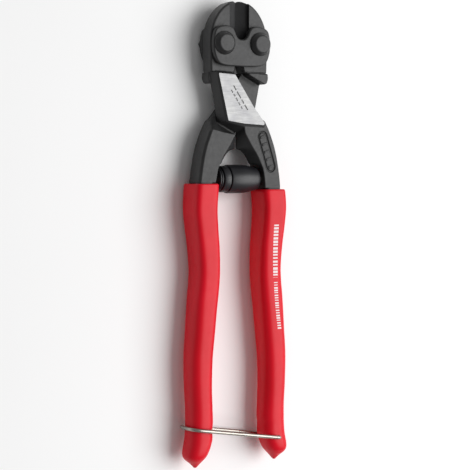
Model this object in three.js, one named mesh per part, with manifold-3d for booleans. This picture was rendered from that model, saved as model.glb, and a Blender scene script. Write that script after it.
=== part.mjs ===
// Compact bolt cutters: two crossing forged levers that turn on two bolts between a pair of link plates,
// dipped grips, a return spring in a two-part housing and a wire latch that holds the handles shut.
//
// The tool lies on its back. X runs across it, Y along it towards the jaws and Z out of its front face.
// Outlines are lists of [x, down], where down is the distance below the crown of the jaws, in millimetres.
// Everything is drawn about the tool's middle plane and lifted by REST_HEIGHT when it becomes a piece.
import * as THREE from "three";
import { mergeVertices } from "three/addons/utils/BufferGeometryUtils.js";
import Module from "manifold-3d";

const wasm = await Module();
wasm.setup();

// ---- driving dimensions ----
const CROWN_Y = 100; // Y of the crown of the jaws
const REST_HEIGHT = 8.3; // middle plane above the surface the nuts rest on

const PIVOT_X = 9; // each bolt's distance from the centre line
const PIVOT_DOWN = 18.4;
const SHAFT_RADIUS = 3;
const BUSH_RADIUS = 4;
const THREAD_RADIUS = 2.5; // rear end of each bolt, inside its nut
const RUNNING_GAP = 0.05; // radial clearance of everything that turns or is assembled on a shaft
const FACE_GAP = 0.15; // between flat faces that slide or lie on each other

const JAW_HALF_THICK = 3.5;
const JAW_HALF_WIDTH = 14.6;
const JAW_HEIGHT = PIVOT_DOWN;
const JAW_BEVEL = 0.5;
const EDGE_GAP = 0.1; // each closed cutting edge to the centre line
const TAIL_DOWN = 30.3; // where the jaw plate ends and the arm begins
const MOST_OPENING = THREE.MathUtils.degToRad(13); // turn of each lever
const RELIEF_ANGLE = THREE.MathUtils.degToRad(15); // slope of the inner edges below the pivots

const PLATE_THICK = 2.4;
const PLATE_INNER = JAW_HALF_THICK + FACE_GAP;
const PLATE_OUTER = PLATE_INNER + PLATE_THICK;

const LEVER_HALF_THICK = 4.75;
const ARM_FACE = 5.5; // height of the ground face of the arm

const GRIP_TOPS = { right: 80.8, left: 78.2 }; // how high each dipped grip reaches
const HANDLE_ABOVE_GRIP = 0.5; // from the end of the full handle to the grip below it
const SHANK_LAP = 1; // how far the shank runs up inside the handle
const GRIP_WALL = 1.9;
const GRIP_WALL_FRONT = 2.25;
const GRIP_GAP = 0.3; // between a shank and its grip

const SPRING_DOWN = 76.2;
const WIRE_RADIUS = 0.8;
const LATCH_X = 19;
const LATCH_DOWN = 189.1;
const LATCH_FAR_X = -25;
const LATCH_FAR_DOWN = 182.1;
const LATCH_HEIGHT = 6.95; // of each leg above the middle plane, where it turns into the eyelet
const LATCH_FAR_HEIGHT = 6.6; // and where it turns round the left grip

// ---- colours ----
const FORGING = { color: 0x3c3d3f, roughness: 0.6, metalness: 0.7 };
const DARK_STEEL = { color: 0x2b2c2e, roughness: 0.5, metalness: 0.7 };
const BRIGHT_STEEL = { color: 0xb9b9b6, roughness: 0.3, metalness: 0.9 };
const BLACK_PLASTIC = { color: 0x1a1b1d, roughness: 0.45, metalness: 0 };
const RED_VINYL = { color: 0xbf0a1c, roughness: 0.3, metalness: 0 };

const yAt = (down) => CROWN_Y - down;

// ---- geometry helpers ----

// A manifold solid from a closed three.js geometry.
function toSolid(geometry) {
  const bare = geometry.clone();
  bare.deleteAttribute("normal");
  bare.deleteAttribute("uv");
  const merged = mergeVertices(bare, 1e-4);
  const mesh = new wasm.Mesh({
    numProp: 3,
    vertProperties: new Float32Array(merged.attributes.position.array),
    triVerts: new Uint32Array(merged.index.array),
  });
  return new wasm.Manifold(mesh);
}

function fromTriangles(positions, triangles) {
  const geometry = new THREE.BufferGeometry();
  geometry.setAttribute("position", new THREE.Float32BufferAttribute(positions.flat(), 3));
  geometry.setIndex(triangles.flat());
  return toSolid(geometry);
}

// Joins rings of equal length into a closed tube with a flat cap on each end.
function skin(rings) {
  const count = rings[0].length;
  const triangles = [];
  for (let ring = 0; ring + 1 < rings.length; ring++) {
    for (let i = 0; i < count; i++) {
      const next = (i + 1) % count;
      const here = ring * count;
      const above = here + count;
      triangles.push([here + i, here + next, above + next], [here + i, above + next, above + i]);
    }
  }
  const last = (rings.length - 1) * count;
  for (let i = 1; i + 1 < count; i++) {
    triangles.push([0, i + 1, i], [last, last + i, last + i + 1]);
  }
  return fromTriangles(rings.flat(), triangles);
}

// A prism whose outline changes evenly from lower (at zLow) to upper (at zHigh).
function drafted(lower, upper, zLow, zHigh) {
  const cornersOf = (outline) => outline.map(([x, down]) => new THREE.Vector2(x, yAt(down)));
  const corners = [cornersOf(lower), cornersOf(upper)];
  if (THREE.ShapeUtils.isClockWise(corners[0])) corners.forEach((outline) => outline.reverse());
  const count = lower.length;
  const positions = corners.flatMap((outline, i) => outline.map((p) => [p.x, p.y, i ? zHigh : zLow]));
  const bottom = THREE.ShapeUtils.triangulateShape(corners[0], []).map(([a, b, c]) => [a, c, b]);
  const top = THREE.ShapeUtils.triangulateShape(corners[1], []).map((face) => face.map((i) => i + count));
  const sides = [];
  for (let i = 0; i < count; i++) {
    const next = (i + 1) % count;
    sides.push([i, next, next + count], [i, next + count, i + count]);
  }
  return fromTriangles(positions, [...bottom, ...top, ...sides]);
}

// Drafted prisms on top of each other. Each level is [z, outline], and all outlines have equal length.
function stacked(levels) {
  const layers = levels.slice(1).map(([z, outline], i) => {
    const [zBelow, below] = levels[i];
    return drafted(below, outline, zBelow, z);
  });
  return union(layers);
}

// The outline part of the way from one outline to another.
function between(from, to, share) {
  return from.map(([x, down], i) => [x + (to[i][0] - x) * share, down + (to[i][1] - down) * share]);
}

// A flat plate with a bevel along both of its rims.
function plate(outline, zLow, zHigh, bevel) {
  const shape = new THREE.Shape(outline.map(([x, down]) => new THREE.Vector2(x, yAt(down))));
  const geometry = new THREE.ExtrudeGeometry(shape, {
    depth: zHigh - zLow - 2 * bevel,
    bevelThickness: bevel,
    bevelSize: bevel,
    bevelOffset: -bevel,
    bevelSegments: 1,
    bevelEnabled: bevel > 0,
  });
  return toSolid(geometry.translate(0, 0, zLow + bevel));
}

// A solid of revolution. The profile is a list of [radius, height] that starts and ends on the axis.
function turned(profile, axis, centre, segments = 40) {
  const points = profile.map(([radius, height]) => new THREE.Vector2(radius, height));
  const geometry = new THREE.LatheGeometry(points, segments);
  if (axis === "z") geometry.rotateX(Math.PI / 2);
  if (axis === "x") geometry.rotateZ(-Math.PI / 2);
  return toSolid(geometry.translate(...centre));
}

// A plain cylinder between two heights along an axis.
function rod(radius, low, high, axis, centre, segments) {
  return turned([[0, low], [radius, low], [radius, high], [0, high]], axis, centre, segments);
}

// A round wire along a list of THREE.Vector3, with flat ends.
function wire(points, radius, sides) {
  const tangentAt = (i) => {
    const before = points[Math.max(i - 1, 0)];
    const after = points[Math.min(i + 1, points.length - 1)];
    return after.clone().sub(before).normalize();
  };
  const first = tangentAt(0);
  const aside = Math.abs(first.z) < 0.9 ? new THREE.Vector3(0, 0, 1) : new THREE.Vector3(1, 0, 0);
  const normal = aside.clone().cross(first).normalize();
  const rings = points.map((point, i) => {
    const tangent = tangentAt(i);
    normal.addScaledVector(tangent, -normal.dot(tangent)).normalize();
    const other = tangent.clone().cross(normal);
    return Array.from({ length: sides }, (_, k) => {
      const angle = (2 * Math.PI * k) / sides;
      const spot = point
        .clone()
        .addScaledVector(normal, radius * Math.cos(angle))
        .addScaledVector(other, radius * Math.sin(angle));
      return spot.toArray();
    });
  });
  return skin(rings);
}

// Replaces each inner corner of a polyline with a short curve that starts radii[i] before it.
function roundCorners(points, radii, steps) {
  const path = [points[0]];
  for (let i = 1; i + 1 < points.length; i++) {
    const corner = points[i];
    const from = corner.clone().add(points[i - 1].clone().sub(corner).setLength(radii[i - 1]));
    const to = corner.clone().add(points[i + 1].clone().sub(corner).setLength(radii[i - 1]));
    path.push(...new THREE.QuadraticBezierCurve3(from, corner, to).getPoints(steps));
  }
  path.push(points[points.length - 1]);
  return path;
}

const union = (solids) => solids.reduce((whole, next) => whole.add(next));

// The same forging serves both sides: the left one is the right one turned half round the tool's long axis.
const turnRound = (solid) => solid.rotate([0, 180, 0]);

// ---- jaws ----

// Distance from the centre line at which a lever stays clear of the other one through the whole opening.
function innerEdge(down) {
  const below = down - PIVOT_DOWN;
  if (below <= 0) return EDGE_GAP;
  const onCircle = PIVOT_X * Math.sin(RELIEF_ANGLE);
  if (below < onCircle) return EDGE_GAP + PIVOT_X - Math.sqrt(PIVOT_X ** 2 - below ** 2);
  return EDGE_GAP + PIVOT_X - (PIVOT_X - below * Math.sin(RELIEF_ANGLE)) / Math.cos(RELIEF_ANGLE);
}

function jawPlate() {
  const crown = [[-EDGE_GAP, 0.9], [-0.8, 0.35], [-1.6, 0.12]];
  const dome = [];
  const steps = 18;
  for (let i = 1; i <= steps; i++) {
    const angle = THREE.MathUtils.mapLinear(i, 0, steps, THREE.MathUtils.degToRad(83), 0);
    dome.push([-JAW_HALF_WIDTH * Math.cos(angle), PIVOT_DOWN - JAW_HEIGHT * Math.sin(angle)]);
  }
  const tailEnd = TAIL_DOWN + 0.4; // inside the arm
  const tail = [[-14.4, 24], [-14.2, tailEnd]];
  const inner = [tailEnd, 26, 22.5, 20.7, 20, 19.2, PIVOT_DOWN].map((down) => [-innerEdge(down), down]);
  return plate([...crown, ...dome, ...tail, ...inner], -JAW_HALF_THICK, JAW_HALF_THICK, JAW_BEVEL);
}

// The ground hollow in front of the cutting edge: a steep shoulder, then a shallow bevel down to the edge.
function edgeHollow() {
  const section = new THREE.Shape([
    new THREE.Vector2(-4.9, JAW_HALF_THICK + 1),
    new THREE.Vector2(-4.7, JAW_HALF_THICK),
    new THREE.Vector2(-4.3, 1.5),
    new THREE.Vector2(1, -0.18),
    new THREE.Vector2(1, JAW_HALF_THICK + 1),
  ]);
  const length = 19;
  const geometry = new THREE.ExtrudeGeometry(section, { depth: length, bevelEnabled: false });
  geometry.rotateX(Math.PI / 2);
  return toSolid(geometry.translate(0, CROWN_Y + 2, 0));
}

// ---- the tooth and notch that make the levers open together ----

const TOOTH_ANGLE = MOST_OPENING / 2;

// A wedge pointing from a pivot towards the other one. Profile is a list of [radius, half width].
function wedge(pivotX, profile) {
  const towards = -Math.sign(pivotX);
  const along = new THREE.Vector2(towards * Math.cos(TOOTH_ANGLE), Math.sin(TOOTH_ANGLE));
  const across = new THREE.Vector2(-along.y, along.x);
  const side = (sign) =>
    profile.map(([radius, half]) => [
      pivotX + radius * along.x + sign * half * across.x,
      PIVOT_DOWN + radius * along.y + sign * half * across.y,
    ]);
  return plate([...side(1), ...side(-1).reverse()], -JAW_HALF_THICK, JAW_HALF_THICK, 0);
}

const tooth = () => wedge(PIVOT_X, [[7, 1.1], [8.1, 0.95], [9, 0.7], [9.8, 0.4]]);
const notch = () => wedge(-PIVOT_X, [[7.9, 0.6], [9, 0.98], [9.5, 1.15]]);

// ---- arm and handle ----

// Outer outline of the handle at the middle plane, from the arm down to where the full section ends.
const outerEdge = (end) => [
  [13.1, 51.4],
  [15.3, 55.6],
  [17.5, 61],
  [18.6, 64.6],
  [19.4, 68],
  [20.2, 72.4],
  [20.8, 76.6],
  [21.1, end],
];

// Inner outline of the handle on its outer faces and at the middle plane, from the crotch down.
const innerFace = (end) => [
  [5.4, 61.4],
  [7, 63.8],
  [8.3, 65.6],
  [9.5, 67.7],
  [10.4, 69.6],
  [11.4, 72],
  [12.1, 75.5],
  [12.6, end],
];
const innerMiddle = (end) => [
  [0.3, 63.4],
  [2.7, 64.1],
  [4.8, 66.1],
  [6.3, 68.4],
  [7.2, 69.7],
  [10.6, 70.5],
  [11.8, 74],
  [12.6, end],
];

const drawnIn = (outline, by) => outline.map(([x, down]) => [x - by, down]);

// Levels of a handle half: height, how far its outer wall is drawn in there, and the share of the way
// that its inner wall has come from the middle plane to the face.
const BEVEL_START = LEVER_HALF_THICK - 0.95;
const HANDLE_LEVELS = [
  [FACE_GAP, 0, 0],
  [BEVEL_START, 0.1, 0.8],
  [LEVER_HALF_THICK, 1, 1],
];

// The half of the handle in front of the middle plane runs up into the arm.
function handleFront(end) {
  const middle = [...innerMiddle(end)].reverse();
  const face = [...innerFace(end)].reverse();
  const levels = HANDLE_LEVELS.map(([z, draw, share]) => {
    const inArm = between([[2, 51], [11.4, 49.6]], [[4, 51.5], [11, 50.5]], share);
    const crotch = between([[-0.1, 57.7], [0.8, 54]], [[2.3, 56.6], [1.8, 54.2]], share);
    return [z, [...inArm, ...drawnIn(outerEdge(end), draw), ...between(middle, face, share), ...crotch]];
  });
  return stacked(levels);
}

// The half behind it stops at a shoulder, which leaves room for the other lever's arm.
function handleRear(end) {
  const middle = [...innerMiddle(end)].reverse();
  const face = [...innerFace(end)].reverse();
  const levels = HANDLE_LEVELS.map(([z, draw, share]) => {
    const corner = between([[0.6, 57.5]], [[2.7, 57.1]], share);
    return [-z, [...drawnIn(outerEdge(end).slice(1), draw), ...between(middle, face, share), ...corner]];
  });
  levels[0][0] = FACE_GAP;
  return stacked(levels.reverse());
}

// The arm crosses in front of the other lever. Its ground face stands on sloping shoulders.
function arm() {
  const middle = [
    [-13.9, TAIL_DOWN],
    [-3.7, TAIL_DOWN],
    [6.1, 45],
    [13.1, 51.4],
    [13.4, 56.4],
    [-0.1, 56.4],
    [-9.3, 51.9],
  ];
  const shoulder = [
    [-12.2, 30.5],
    [-3.7, 30.7],
    [5.9, 45],
    [12.1, 51.8],
    [12.2, 54.2],
    [1.4, 53.7],
    [-7.6, 51.9],
  ];
  const face = [
    [-11.5, 31.3],
    [-3.3, 31.8],
    [5.9, 45],
    [11.6, 52],
    [11.4, 52.9],
    [1.5, 52.3],
    [-6.6, 51.2],
  ];
  return stacked([
    [FACE_GAP, middle],
    [LEVER_HALF_THICK, shoulder],
    [ARM_FACE, face],
  ]);
}

// The full-thickness shoulder behind the arm. Its slanting edge meets the other lever's arm at full opening.
function lobe() {
  const outline = [
    [-3.9, 30.9],
    [-5, 32],
    [-11.3, 35.1],
    [-12.1, 35.5],
    [-13.4, 35],
    [-14.1, 33],
    [-13.9, 30.9],
  ];
  return plate(outline, -LEVER_HALF_THICK, FACE_GAP, 0.4);
}

// Oval groove on the front of the handle.
function ovalGroove() {
  const outline = (radius) => {
    const ends = [[11.1, 58], [15.3, 70.9]];
    const lean = Math.atan2(ends[1][1] - ends[0][1], ends[1][0] - ends[0][0]);
    const steps = 8;
    return ends.flatMap(([x, down], end) =>
      Array.from({ length: steps + 1 }, (_, i) => {
        const angle = lean + Math.PI / 2 + (end ? Math.PI : 0) + (Math.PI * i) / steps;
        return [x + radius * Math.cos(angle), down + radius * Math.sin(angle)];
      }),
    );
  };
  const [outside, inside] = [2.4, 1.75];
  const [floor, over] = [LEVER_HALF_THICK - 0.4, LEVER_HALF_THICK + 1];
  return plate(outline(outside), floor, over, 0).subtract(plate(outline(inside), floor - 1, over + 1, 0));
}

// ---- grips ----

// Sections of a grip from its open top to its drip tip.
// [down, centre x, half width, half thickness, squareness]: squareness 2 is an ellipse, more is boxier.
const gripSections = (top) => [
  [top, 17.05, 5.5, 6.8, 5],
  [top + 1.5, 17.1, 5.75, 7.05, 5],
  [89, 17.6, 5.7, 7, 5],
  [97, 17, 5.6, 6.9, 4.6],
  [105, 16.1, 5.5, 6.8, 4.2],
  [113.7, 15.6, 5.4, 6.7, 3.8],
  [120, 15.9, 5.4, 6.6, 3.6],
  [126, 16.6, 5.4, 6.5, 3.4],
  [133, 17.4, 5.3, 6.4, 3.2],
  [141, 18.1, 5.2, 6.3, 3],
  [153, 19.1, 5.1, 6.1, 2.8],
  [165, 19.1, 5, 5.9, 2.6],
  [174, 18.7, 5.1, 5.8, 2.5],
  [180, 18.6, 5.3, 5.75, 2.5],
  [183, 18.8, 5.2, 5.6, 2.5],
  [187, 18.8, 5.5, 5.75, 2.5],
  [189.5, 19.1, 5.6, 5.85, 2.5],
  [192.2, 19.9, 5.45, 5.75, 2.4],
  [194.4, 20.5, 4.95, 5.3, 2.3],
  [196, 20.7, 3.9, 4.2, 2.2],
  [197.4, 20.45, 2.5, 2.65, 2.1],
  [198.6, 20.3, 1.35, 1.4, 2],
  [199.6, 20.3, 0.5, 0.5, 2],
];
const SHANK_END = 191;

// Joins sections across Y. Each is [down, centre x, half width, half thickness, squareness].
function lofted(sections, sides = 32) {
  const rings = sections.map(([down, x, halfWidth, halfThick, squareness]) =>
    Array.from({ length: sides }, (_, k) => {
      const angle = (2 * Math.PI * (k + 0.5)) / sides;
      const bulge = (value) => Math.sign(value) * Math.abs(value) ** (2 / squareness);
      return [x + halfWidth * bulge(Math.cos(angle)), yAt(down), halfThick * bulge(Math.sin(angle))];
    }),
  );
  return skin(rings);
}

// The sections inside a grip, drawn in by its wall and then let out by a gap.
function coreSections(gripTop, gap, top, end) {
  const inside = gripSections(gripTop).filter(([down]) => down > gripTop && down < end);
  const [, ...topShape] = inside[0];
  const [, ...endShape] = inside[inside.length - 1];
  const along = [[top, ...topShape], ...inside, [end, ...endShape]];
  return along.map(([down, x, halfWidth, halfThick, squareness]) => [
    down,
    x,
    halfWidth - GRIP_WALL + gap,
    halfThick - GRIP_WALL_FRONT + gap,
    squareness + 1,
  ]);
}

const latchHole = (radius) => rod(radius, -20, 20, "z", [LATCH_X, yAt(LATCH_DOWN), 0], 24);
const EYELET_RADIUS = 1.85;

function grip(gripTop) {
  const bore = lofted(coreSections(gripTop, GRIP_GAP, gripTop - 2, SHANK_END + GRIP_GAP));
  return lofted(gripSections(gripTop)).subtract(bore);
}

// ---- whole levers ----

const PEG_RADIUS = 1.9;
const PEG_TIP_X = 7;
const PEG_ROOT_X = 15;

function forging(gripTop) {
  const end = gripTop - HANDLE_ABOVE_GRIP;
  const shank = lofted(coreSections(gripTop, 0, end - SHANK_LAP, SHANK_END));
  const body = union([jawPlate(), arm(), lobe(), handleFront(end), handleRear(end), shank]);
  const pivotHole = rod(BUSH_RADIUS + RUNNING_GAP, -20, 20, "z", [-PIVOT_X, yAt(PIVOT_DOWN), 0], 48);
  const pegHole = rod(PEG_RADIUS + RUNNING_GAP, 8, PEG_ROOT_X, "x", [0, yAt(SPRING_DOWN), 0], 24);
  const backHollow = edgeHollow().mirror([0, 0, 1]);
  return [edgeHollow(), backHollow, pivotHole, pegHole, ovalGroove()].reduce(
    (whole, cut) => whole.subtract(cut),
    body,
  );
}

// ---- link plates, bolts, nuts and bushes ----

const PLATE_RIGHT_HALF = [
  [1.1, 16.6],
  [2.1, 16],
  [3, 14.7],
  [3.8, 12.9],
  [4.8, 11.7],
  [6.3, 11.1],
  [8.2, 10.9],
  [11.2, 11.5],
  [13.2, 12.8],
  [14.1, 15.6],
  [14.4, 18.5],
  [14.2, 21.4],
  [13.6, 23.7],
  [12.8, 25.5],
  [11.3, 27.1],
  [8.5, 27.9],
  [5, 28.1],
];

function frontLinkPlate() {
  const leftHalf = PLATE_RIGHT_HALF.map(([x, down]) => [-x, down]).reverse();
  const outline = [[0, 16.75], ...PLATE_RIGHT_HALF, [0, 28.2], ...leftHalf];
  const holes = [-PIVOT_X, PIVOT_X].map((x) =>
    rod(SHAFT_RADIUS + RUNNING_GAP, -20, 20, "z", [x, yAt(PIVOT_DOWN), 0], 48),
  );
  return plate(outline, PLATE_INNER, PLATE_OUTER, 0.5).subtract(holes[0]).subtract(holes[1]);
}

const HEAD_TOP = 8.35;
const SEAT = PLATE_OUTER + RUNNING_GAP; // where a head or a nut lies against a link plate
const NUT_ACROSS_FLATS = 8;

function pivotBolt(x) {
  const end = -REST_HEIGHT + 0.1;
  const profile = [
    [0, end],
    [THREAD_RADIUS - 0.4, end],
    [THREAD_RADIUS, end + 0.4],
    [THREAD_RADIUS, -PLATE_OUTER + 0.3],
    [SHAFT_RADIUS, -PLATE_OUTER + 0.3],
    [SHAFT_RADIUS, SEAT],
    [5, SEAT],
    [5, SEAT + 0.5],
    [3.6, HEAD_TOP - 0.1],
    [3.4, HEAD_TOP],
    [0, HEAD_TOP],
  ];
  return turned(profile, "z", [x, yAt(PIVOT_DOWN), 0], 48);
}

function pivotNut(x) {
  const centre = [x, yAt(PIVOT_DOWN), 0];
  const cornerRadius = NUT_ACROSS_FLATS / 2 / Math.cos(Math.PI / 6);
  const hexagon = rod(cornerRadius, -REST_HEIGHT, -SEAT, "z", centre, 6);
  const bore = rod(THREAD_RADIUS + RUNNING_GAP, -20, 20, "z", centre, 48);
  return hexagon.subtract(bore);
}

function pivotBush(x) {
  const half = PLATE_INNER - RUNNING_GAP;
  const centre = [x, yAt(PIVOT_DOWN), 0];
  const outside = rod(BUSH_RADIUS, -half, half, "z", centre, 48);
  return outside.subtract(rod(SHAFT_RADIUS + RUNNING_GAP, -20, 20, "z", centre, 48));
}

// ---- return spring and its housing, along X between the handles ----

const springCentre = [0, yAt(SPRING_DOWN), 0];
const pegBore = () => rod(PEG_RADIUS + RUNNING_GAP, -20, 20, "x", springCentre, 24);

const BARREL_MOUTH = -4.8;
const CUP_RADIUS = 4.4;

function springBarrel() {
  const outside = turned(
    [
      [0, BARREL_MOUTH],
      [5.9, BARREL_MOUTH],
      [6.15, BARREL_MOUTH + 0.3],
      [6.15, 3],
      [5.4, 7.8],
      [5.1, 9.2],
      [4.5, 10.3],
      [0, 10.3],
    ],
    "x",
    springCentre,
  );
  const bore = rod(CUP_RADIUS + 0.3, BARREL_MOUTH - 1, 9.2, "x", springCentre, 40);
  return outside.subtract(bore).subtract(pegBore());
}

function springCup() {
  const ribs = [];
  for (let x = -10.2; x < -8.6; x += 0.9) ribs.push([4.6, x], [5, x + 0.2], [5, x + 0.55], [4.6, x + 0.7]);
  const profile = [[0, -10.3], [4.6, -10.3], ...ribs, [CUP_RADIUS, -8.5], [CUP_RADIUS, -1.5], [0, -1.5]];
  const outside = turned(profile, "x", springCentre);
  return outside.subtract(rod(3.9, -9.2, 5, "x", springCentre, 40)).subtract(pegBore());
}

function springCollar() {
  const [start, end] = [-8.3, BARREL_MOUTH - 0.3];
  const outside = turned(
    [[0, start], [5.2, start], [5.65, start + 0.4], [5.75, end - 0.3], [5.5, end], [0, end]],
    "x",
    springCentre,
  );
  return outside.subtract(rod(CUP_RADIUS + RUNNING_GAP, -20, 20, "x", springCentre, 40));
}

function springPeg() {
  const tip = PEG_TIP_X;
  const profile = [[0, tip], [PEG_RADIUS - 0.6, tip], [PEG_RADIUS, tip + 0.6], [PEG_RADIUS, 14.8], [0, 14.8]];
  return turned(profile, "x", springCentre, 24);
}

function returnSpring() {
  const coils = 9;
  const stepsPerCoil = 18;
  const halfLength = 8.4;
  const coilRadius = 2.85;
  const total = coils * stepsPerCoil;
  const points = Array.from({ length: total + 1 }, (_, i) => {
    const angle = (2 * Math.PI * i) / stepsPerCoil;
    return new THREE.Vector3(
      THREE.MathUtils.mapLinear(i, 0, total, -halfLength, halfLength),
      springCentre[1] + coilRadius * Math.cos(angle),
      coilRadius * Math.sin(angle),
    );
  });
  return wire(points, 0.65, 8);
}

// ---- latch ----

function latchWire() {
  const [pivotY, farY] = [yAt(LATCH_DOWN), yAt(LATCH_FAR_DOWN)];
  const inHole = 3.6;
  const corners = [
    [LATCH_X, pivotY, inHole],
    [LATCH_X, pivotY, LATCH_HEIGHT],
    [LATCH_FAR_X, farY, LATCH_FAR_HEIGHT],
    [LATCH_FAR_X, farY, -LATCH_FAR_HEIGHT],
    [LATCH_X, pivotY, -LATCH_HEIGHT],
    [LATCH_X, pivotY, -inHole],
  ].map((corner) => new THREE.Vector3(...corner));
  const [tight, wide] = [1.05, 5.4];
  return wire(roundCorners(corners, [tight, wide, wide, tight], 6), WIRE_RADIUS, 12);
}

// A plain tube, flush with the grip at both ends.
function latchEyelet() {
  const half = 5.2;
  const outside = rod(EYELET_RADIUS - RUNNING_GAP, -half, half, "z", [LATCH_X, yAt(LATCH_DOWN), 0], 24);
  return outside.subtract(latchHole(WIRE_RADIUS + 0.15));
}

// ---- assembly ----

const part = new THREE.Group();

function piece(name, solid, look) {
  const raised = solid.translate([0, 0, REST_HEIGHT]).getMesh();
  const geometry = new THREE.BufferGeometry();
  geometry.setAttribute("position", new THREE.BufferAttribute(raised.vertProperties, 3));
  geometry.setIndex(new THREE.BufferAttribute(raised.triVerts, 1));
  const flat = geometry.toNonIndexed();
  flat.computeVertexNormals();
  const mesh = new THREE.Mesh(flat, new THREE.MeshStandardMaterial(look));
  mesh.name = name;
  part.add(mesh);
}

const { right: rightTop, left: leftTop } = GRIP_TOPS;
piece("right_lever", forging(rightTop).subtract(notch()).subtract(latchHole(EYELET_RADIUS)), FORGING);
piece("left_lever", turnRound(forging(leftTop)).add(tooth()), FORGING);
piece("right_grip", grip(rightTop).subtract(latchHole(EYELET_RADIUS)), RED_VINYL);
piece("left_grip", turnRound(grip(leftTop)), RED_VINYL);

piece("front_link_plate", frontLinkPlate(), FORGING);
piece("rear_link_plate", turnRound(frontLinkPlate()), FORGING);
for (const [side, x] of [["left", -PIVOT_X], ["right", PIVOT_X]]) {
  piece(side + "_pivot_bolt", pivotBolt(x), DARK_STEEL);
  piece(side + "_pivot_nut", pivotNut(x), DARK_STEEL);
  piece(side + "_pivot_bush", pivotBush(x), BRIGHT_STEEL);
}

piece("spring_barrel", springBarrel(), BLACK_PLASTIC);
piece("spring_cup", springCup(), BLACK_PLASTIC);
piece("spring_collar", springCollar(), BLACK_PLASTIC);
piece("right_spring_peg", springPeg(), BRIGHT_STEEL);
piece("left_spring_peg", turnRound(springPeg()), BRIGHT_STEEL);
piece("return_spring", returnSpring(), BRIGHT_STEEL);

piece("latch_wire", latchWire(), BRIGHT_STEEL);
piece("latch_eyelet", latchEyelet(), BRIGHT_STEEL);

export default part;
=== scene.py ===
import math

import bpy
import numpy as np
from mathutils import Matrix, Vector


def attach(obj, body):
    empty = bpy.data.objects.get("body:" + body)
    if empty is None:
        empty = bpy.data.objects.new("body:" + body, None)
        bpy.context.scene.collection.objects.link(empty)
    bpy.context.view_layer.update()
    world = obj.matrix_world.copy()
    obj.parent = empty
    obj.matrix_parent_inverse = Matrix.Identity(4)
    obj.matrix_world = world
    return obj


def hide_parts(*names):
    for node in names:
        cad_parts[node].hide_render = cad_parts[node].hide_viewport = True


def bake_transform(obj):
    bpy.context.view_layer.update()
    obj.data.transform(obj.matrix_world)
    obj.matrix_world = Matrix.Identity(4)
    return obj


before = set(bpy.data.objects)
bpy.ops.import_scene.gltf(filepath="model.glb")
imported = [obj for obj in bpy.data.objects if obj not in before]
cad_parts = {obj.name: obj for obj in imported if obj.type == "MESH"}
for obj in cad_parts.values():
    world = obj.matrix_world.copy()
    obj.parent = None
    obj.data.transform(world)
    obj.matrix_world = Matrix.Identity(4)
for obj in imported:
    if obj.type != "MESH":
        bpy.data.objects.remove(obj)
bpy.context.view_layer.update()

# Lengths below are millimetres in the tool's own terms: x across, down from the crown of the jaws,
# z from the middle plane towards the front. row() turns them into the row frame in metres.
MM = 0.001
CROWN_Y = 100.0
REST_HEIGHT = 8.3
FAR = 9.0  # past every surface, for the tools that cut right through
PIVOT_X, PIVOT_DOWN = 9.0, 18.4
BOLT_RADIUS, THREAD_RADIUS, BUSH_RADIUS = 3.0, 2.5, 4.0
HEAD_RADIUS, HEAD_TOP = 5.0, 8.35
NUT_ACROSS_FLATS = 8.0
PEG_RADIUS = 1.9
JAW_HALF_THICK = 3.5
JAW_HALF_WIDTH = 14.6
EDGE_GAP = 0.02
PLATE_INNER, PLATE_OUTER = 3.65, 6.05
LEVER_HALF_THICK = 4.75
BEVEL_START = LEVER_HALF_THICK - 0.95
LAP = 0.15
ARM_FACE = 5.5
TAIL_DOWN = 30.3
GRIP_TOPS = {"right": 80.8, "left": 78.2}
SHANK_END = 191.0
SPRING_DOWN = 76.2
LATCH_X, LATCH_DOWN, LATCH_HEIGHT = 19.0, 189.1, 6.95
LATCH_FAR_X, LATCH_FAR_DOWN, LATCH_FAR_HEIGHT = -25.0, 182.1, 6.6
LATCH_HOLE_RADIUS, EYELET_HALF_LENGTH, WIRE_RADIUS = 0.95, 4.5, 0.8
CORE_HOLE_RADIUS = 1.9
RELIEF = math.radians(15)
TOOTH_ANGLE = math.radians(6.5)
VOXEL, SECOND_VOXEL = 0.2, 0.19


def row(points):
    p = np.asarray(points, float).reshape(-1, 3)
    return np.stack([p[:, 0], CROWN_Y - p[:, 1], p[:, 2] + REST_HEIGHT], axis=1) * MM


# ---- outlines ----


def spline(points, per_span=8):
    """A smooth open line through the points."""
    p = np.asarray(points, float)
    padded = np.vstack([2 * p[0] - p[1], p, 2 * p[-1] - p[-2]])
    made = []
    for i in range(1, len(padded) - 2):
        a, b, c, d = padded[i - 1 : i + 3]
        for t in np.arange(per_span) / per_span:
            square, cube = 2 * a - 5 * b + 4 * c - d, 3 * b - a - 3 * c + d
            made.append(0.5 * (2 * b + (c - a) * t + square * t**2 + cube * t**3))
    made.append(padded[-2])
    return np.array(made)


def resample(points, count):
    """The closed line through the points as count evenly spaced ones."""
    p = np.asarray(points, float)
    p = np.vstack([p, p[:1]])
    along = np.concatenate([[0], np.cumsum(np.linalg.norm(np.diff(p, axis=0), axis=1))])
    at = np.linspace(0, along[-1], count, endpoint=False)
    return np.stack([np.interp(at, along, p[:, k]) for k in range(p.shape[1])], axis=1)


def area(outline):
    x, y = outline[:, 0], outline[:, 1]
    return 0.5 * float(np.sum(x * np.roll(y, -1) - np.roll(x, -1) * y))


def unit(vectors):
    return vectors / np.maximum(np.linalg.norm(vectors, axis=1), 1e-9)[:, None]


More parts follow.
